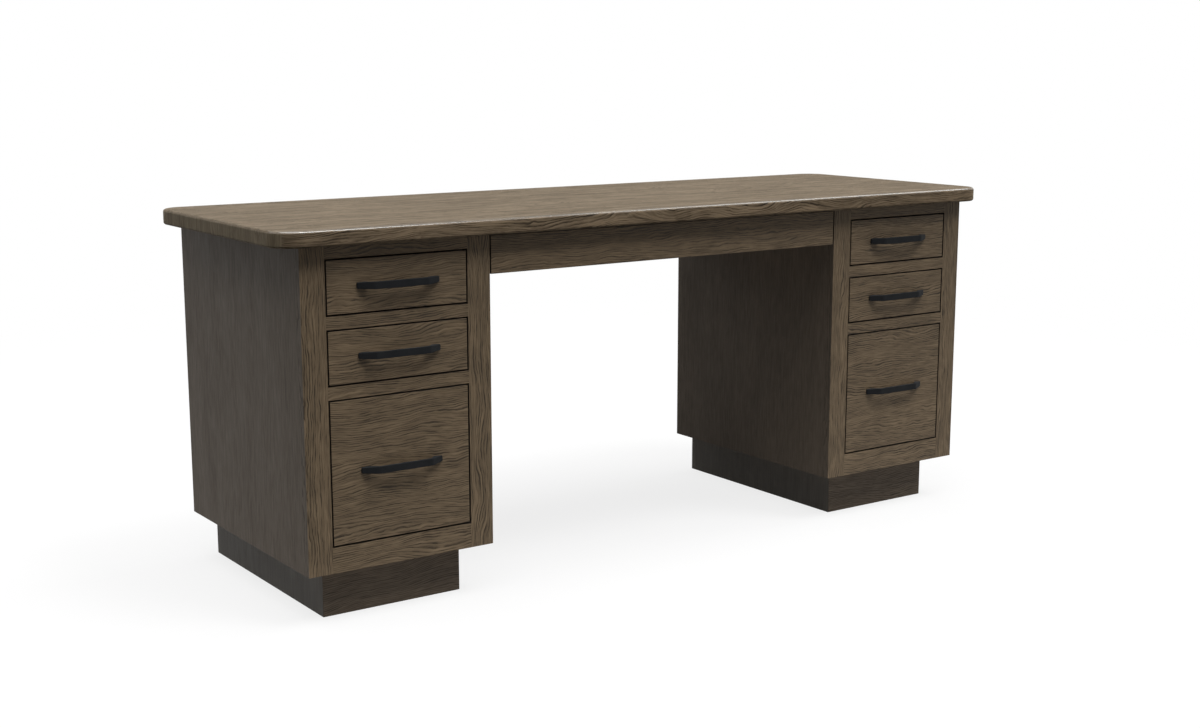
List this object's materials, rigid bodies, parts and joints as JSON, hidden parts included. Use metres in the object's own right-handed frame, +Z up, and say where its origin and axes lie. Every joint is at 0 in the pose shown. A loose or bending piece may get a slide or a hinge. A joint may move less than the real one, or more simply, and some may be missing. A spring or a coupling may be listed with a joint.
{
  "type": "executive desk",
  "caption": "Pedestal executive desk in weathered oak: rounded thick top, face-frame pedestals on recessed plinths, inset drawers on telescopic slides and a pencil drawer over the kneehole.",
  "frame": {"origin": "on the floor under the middle of the top", "axes": "+X to the right of someone facing the drawer fronts, +Y away from them, +Z up"},
  "size_m": [1.8288, 0.6096, 0.762],
  "materials": {
    "stained_oak": "weathered grey-brown stain on open-grained oak, satin",
    "case_plywood": "clear-sealed plywood",
    "drawer_maple": "clear-finished maple",
    "black_metal": "satin black",
    "zinc_steel": "bright zinc plate"
  },
  "bodies": {
    "desk": {"desk_top": "stained_oak", "kneehole_rail": "stained_oak", "top_screws": "zinc_steel", "cabinet_slides": "zinc_steel", "left_inner_side": "stained_oak", "left_outer_side": "stained_oak", "left_inner_stile": "stained_oak", "left_outer_stile": "stained_oak", "left_frame_rails": "stained_oak", "left_plinth": "stained_oak", "left_back_panel": "stained_oak", "left_floor_panel": "case_plywood", "left_top_stretchers": "case_plywood", "left_slide_blocks": "case_plywood", "right_inner_side": "stained_oak", "right_outer_side": "stained_oak", "right_inner_stile": "stained_oak", "right_outer_stile": "stained_oak", "right_frame_rails": "stained_oak", "right_plinth": "stained_oak", "right_back_panel": "stained_oak", "right_floor_panel": "case_plywood", "right_top_stretchers": "case_plywood", "right_slide_blocks": "case_plywood"},
    "left_upper_drawer": {"left_upper_front": "stained_oak", "left_upper_box": "drawer_maple", "left_upper_pull": "black_metal", "left_upper_runners": "zinc_steel"},
    "left_upper_carrier": {"left_upper_carriers": "zinc_steel"},
    "left_middle_drawer": {"left_middle_front": "stained_oak", "left_middle_box": "drawer_maple", "left_middle_pull": "black_metal", "left_middle_runners": "zinc_steel"},
    "left_middle_carrier": {"left_middle_carriers": "zinc_steel"},
    "left_file_drawer": {"left_file_front": "stained_oak", "left_file_box": "drawer_maple", "left_file_pull": "black_metal", "left_file_runners": "zinc_steel", "left_file_folder_rails": "zinc_steel"},
    "left_file_carrier": {"left_file_carriers": "zinc_steel"},
    "right_upper_drawer": {"right_upper_front": "stained_oak", "right_upper_box": "drawer_maple", "right_upper_pull": "black_metal", "right_upper_runners": "zinc_steel"},
    "right_upper_carrier": {"right_upper_carriers": "zinc_steel"},
    "right_middle_drawer": {"right_middle_front": "stained_oak", "right_middle_box": "drawer_maple", "right_middle_pull": "black_metal", "right_middle_runners": "zinc_steel"},
    "right_middle_carrier": {"right_middle_carriers": "zinc_steel"},
    "right_file_drawer": {"right_file_front": "stained_oak", "right_file_box": "drawer_maple", "right_file_pull": "black_metal", "right_file_runners": "zinc_steel", "right_file_folder_rails": "zinc_steel"},
    "right_file_carrier": {"right_file_carriers": "zinc_steel"},
    "pencil_drawer": {"pencil_front": "stained_oak", "pencil_box": "drawer_maple", "pencil_runners": "zinc_steel"},
    "pencil_carrier": {"pencil_carriers": "zinc_steel"}
  },
  "joints": [
    {"name": "left_upper_slide", "type": "slide", "parent": "desk", "child": "left_upper_drawer", "axis": [0, -1, 0], "range_m": [0, 0.5]},
    {"name": "left_upper_carrier_slide", "type": "slide", "parent": "desk", "child": "left_upper_carrier", "axis": [0, -1, 0], "range_m": [0, 0.25]},
    {"name": "left_middle_slide", "type": "slide", "parent": "desk", "child": "left_middle_drawer", "axis": [0, -1, 0], "range_m": [0, 0.5]},
    {"name": "left_middle_carrier_slide", "type": "slide", "parent": "desk", "child": "left_middle_carrier", "axis": [0, -1, 0], "range_m": [0, 0.25]},
    {"name": "left_file_slide", "type": "slide", "parent": "desk", "child": "left_file_drawer", "axis": [0, -1, 0], "range_m": [0, 0.5]},
    {"name": "left_file_carrier_slide", "type": "slide", "parent": "desk", "child": "left_file_carrier", "axis": [0, -1, 0], "range_m": [0, 0.25]},
    {"name": "right_upper_slide", "type": "slide", "parent": "desk", "child": "right_upper_drawer", "axis": [0, -1, 0], "range_m": [0, 0.5]},
    {"name": "right_upper_carrier_slide", "type": "slide", "parent": "desk", "child": "right_upper_carrier", "axis": [0, -1, 0], "range_m": [0, 0.25]},
    {"name": "right_middle_slide", "type": "slide", "parent": "desk", "child": "right_middle_drawer", "axis": [0, -1, 0], "range_m": [0, 0.5]},
    {"name": "right_middle_carrier_slide", "type": "slide", "parent": "desk", "child": "right_middle_carrier", "axis": [0, -1, 0], "range_m": [0, 0.25]},
    {"name": "right_file_slide", "type": "slide", "parent": "desk", "child": "right_file_drawer", "axis": [0, -1, 0], "range_m": [0, 0.5]},
    {"name": "right_file_carrier_slide", "type": "slide", "parent": "desk", "child": "right_file_carrier", "axis": [0, -1, 0], "range_m": [0, 0.25]},
    {"name": "pencil_slide", "type": "slide", "parent": "desk", "child": "pencil_drawer", "axis": [0, -1, 0], "range_m": [0, 0.38]},
    {"name": "pencil_carrier_slide", "type": "slide", "parent": "desk", "child": "pencil_carrier", "axis": [0, -1, 0], "range_m": [0, 0.19]}
  ],
  "couplings": [
    {"joint": "left_upper_carrier_slide", "follows": "left_upper_slide", "ratio": 0.5},
    {"joint": "left_middle_carrier_slide", "follows": "left_middle_slide", "ratio": 0.5},
    {"joint": "left_file_carrier_slide", "follows": "left_file_slide", "ratio": 0.5},
    {"joint": "right_upper_carrier_slide", "follows": "right_upper_slide", "ratio": 0.5},
    {"joint": "right_middle_carrier_slide", "follows": "right_middle_slide", "ratio": 0.5},
    {"joint": "right_file_carrier_slide", "follows": "right_file_slide", "ratio": 0.5},
    {"joint": "pencil_carrier_slide", "follows": "pencil_slide", "ratio": 0.5}
  ]
}
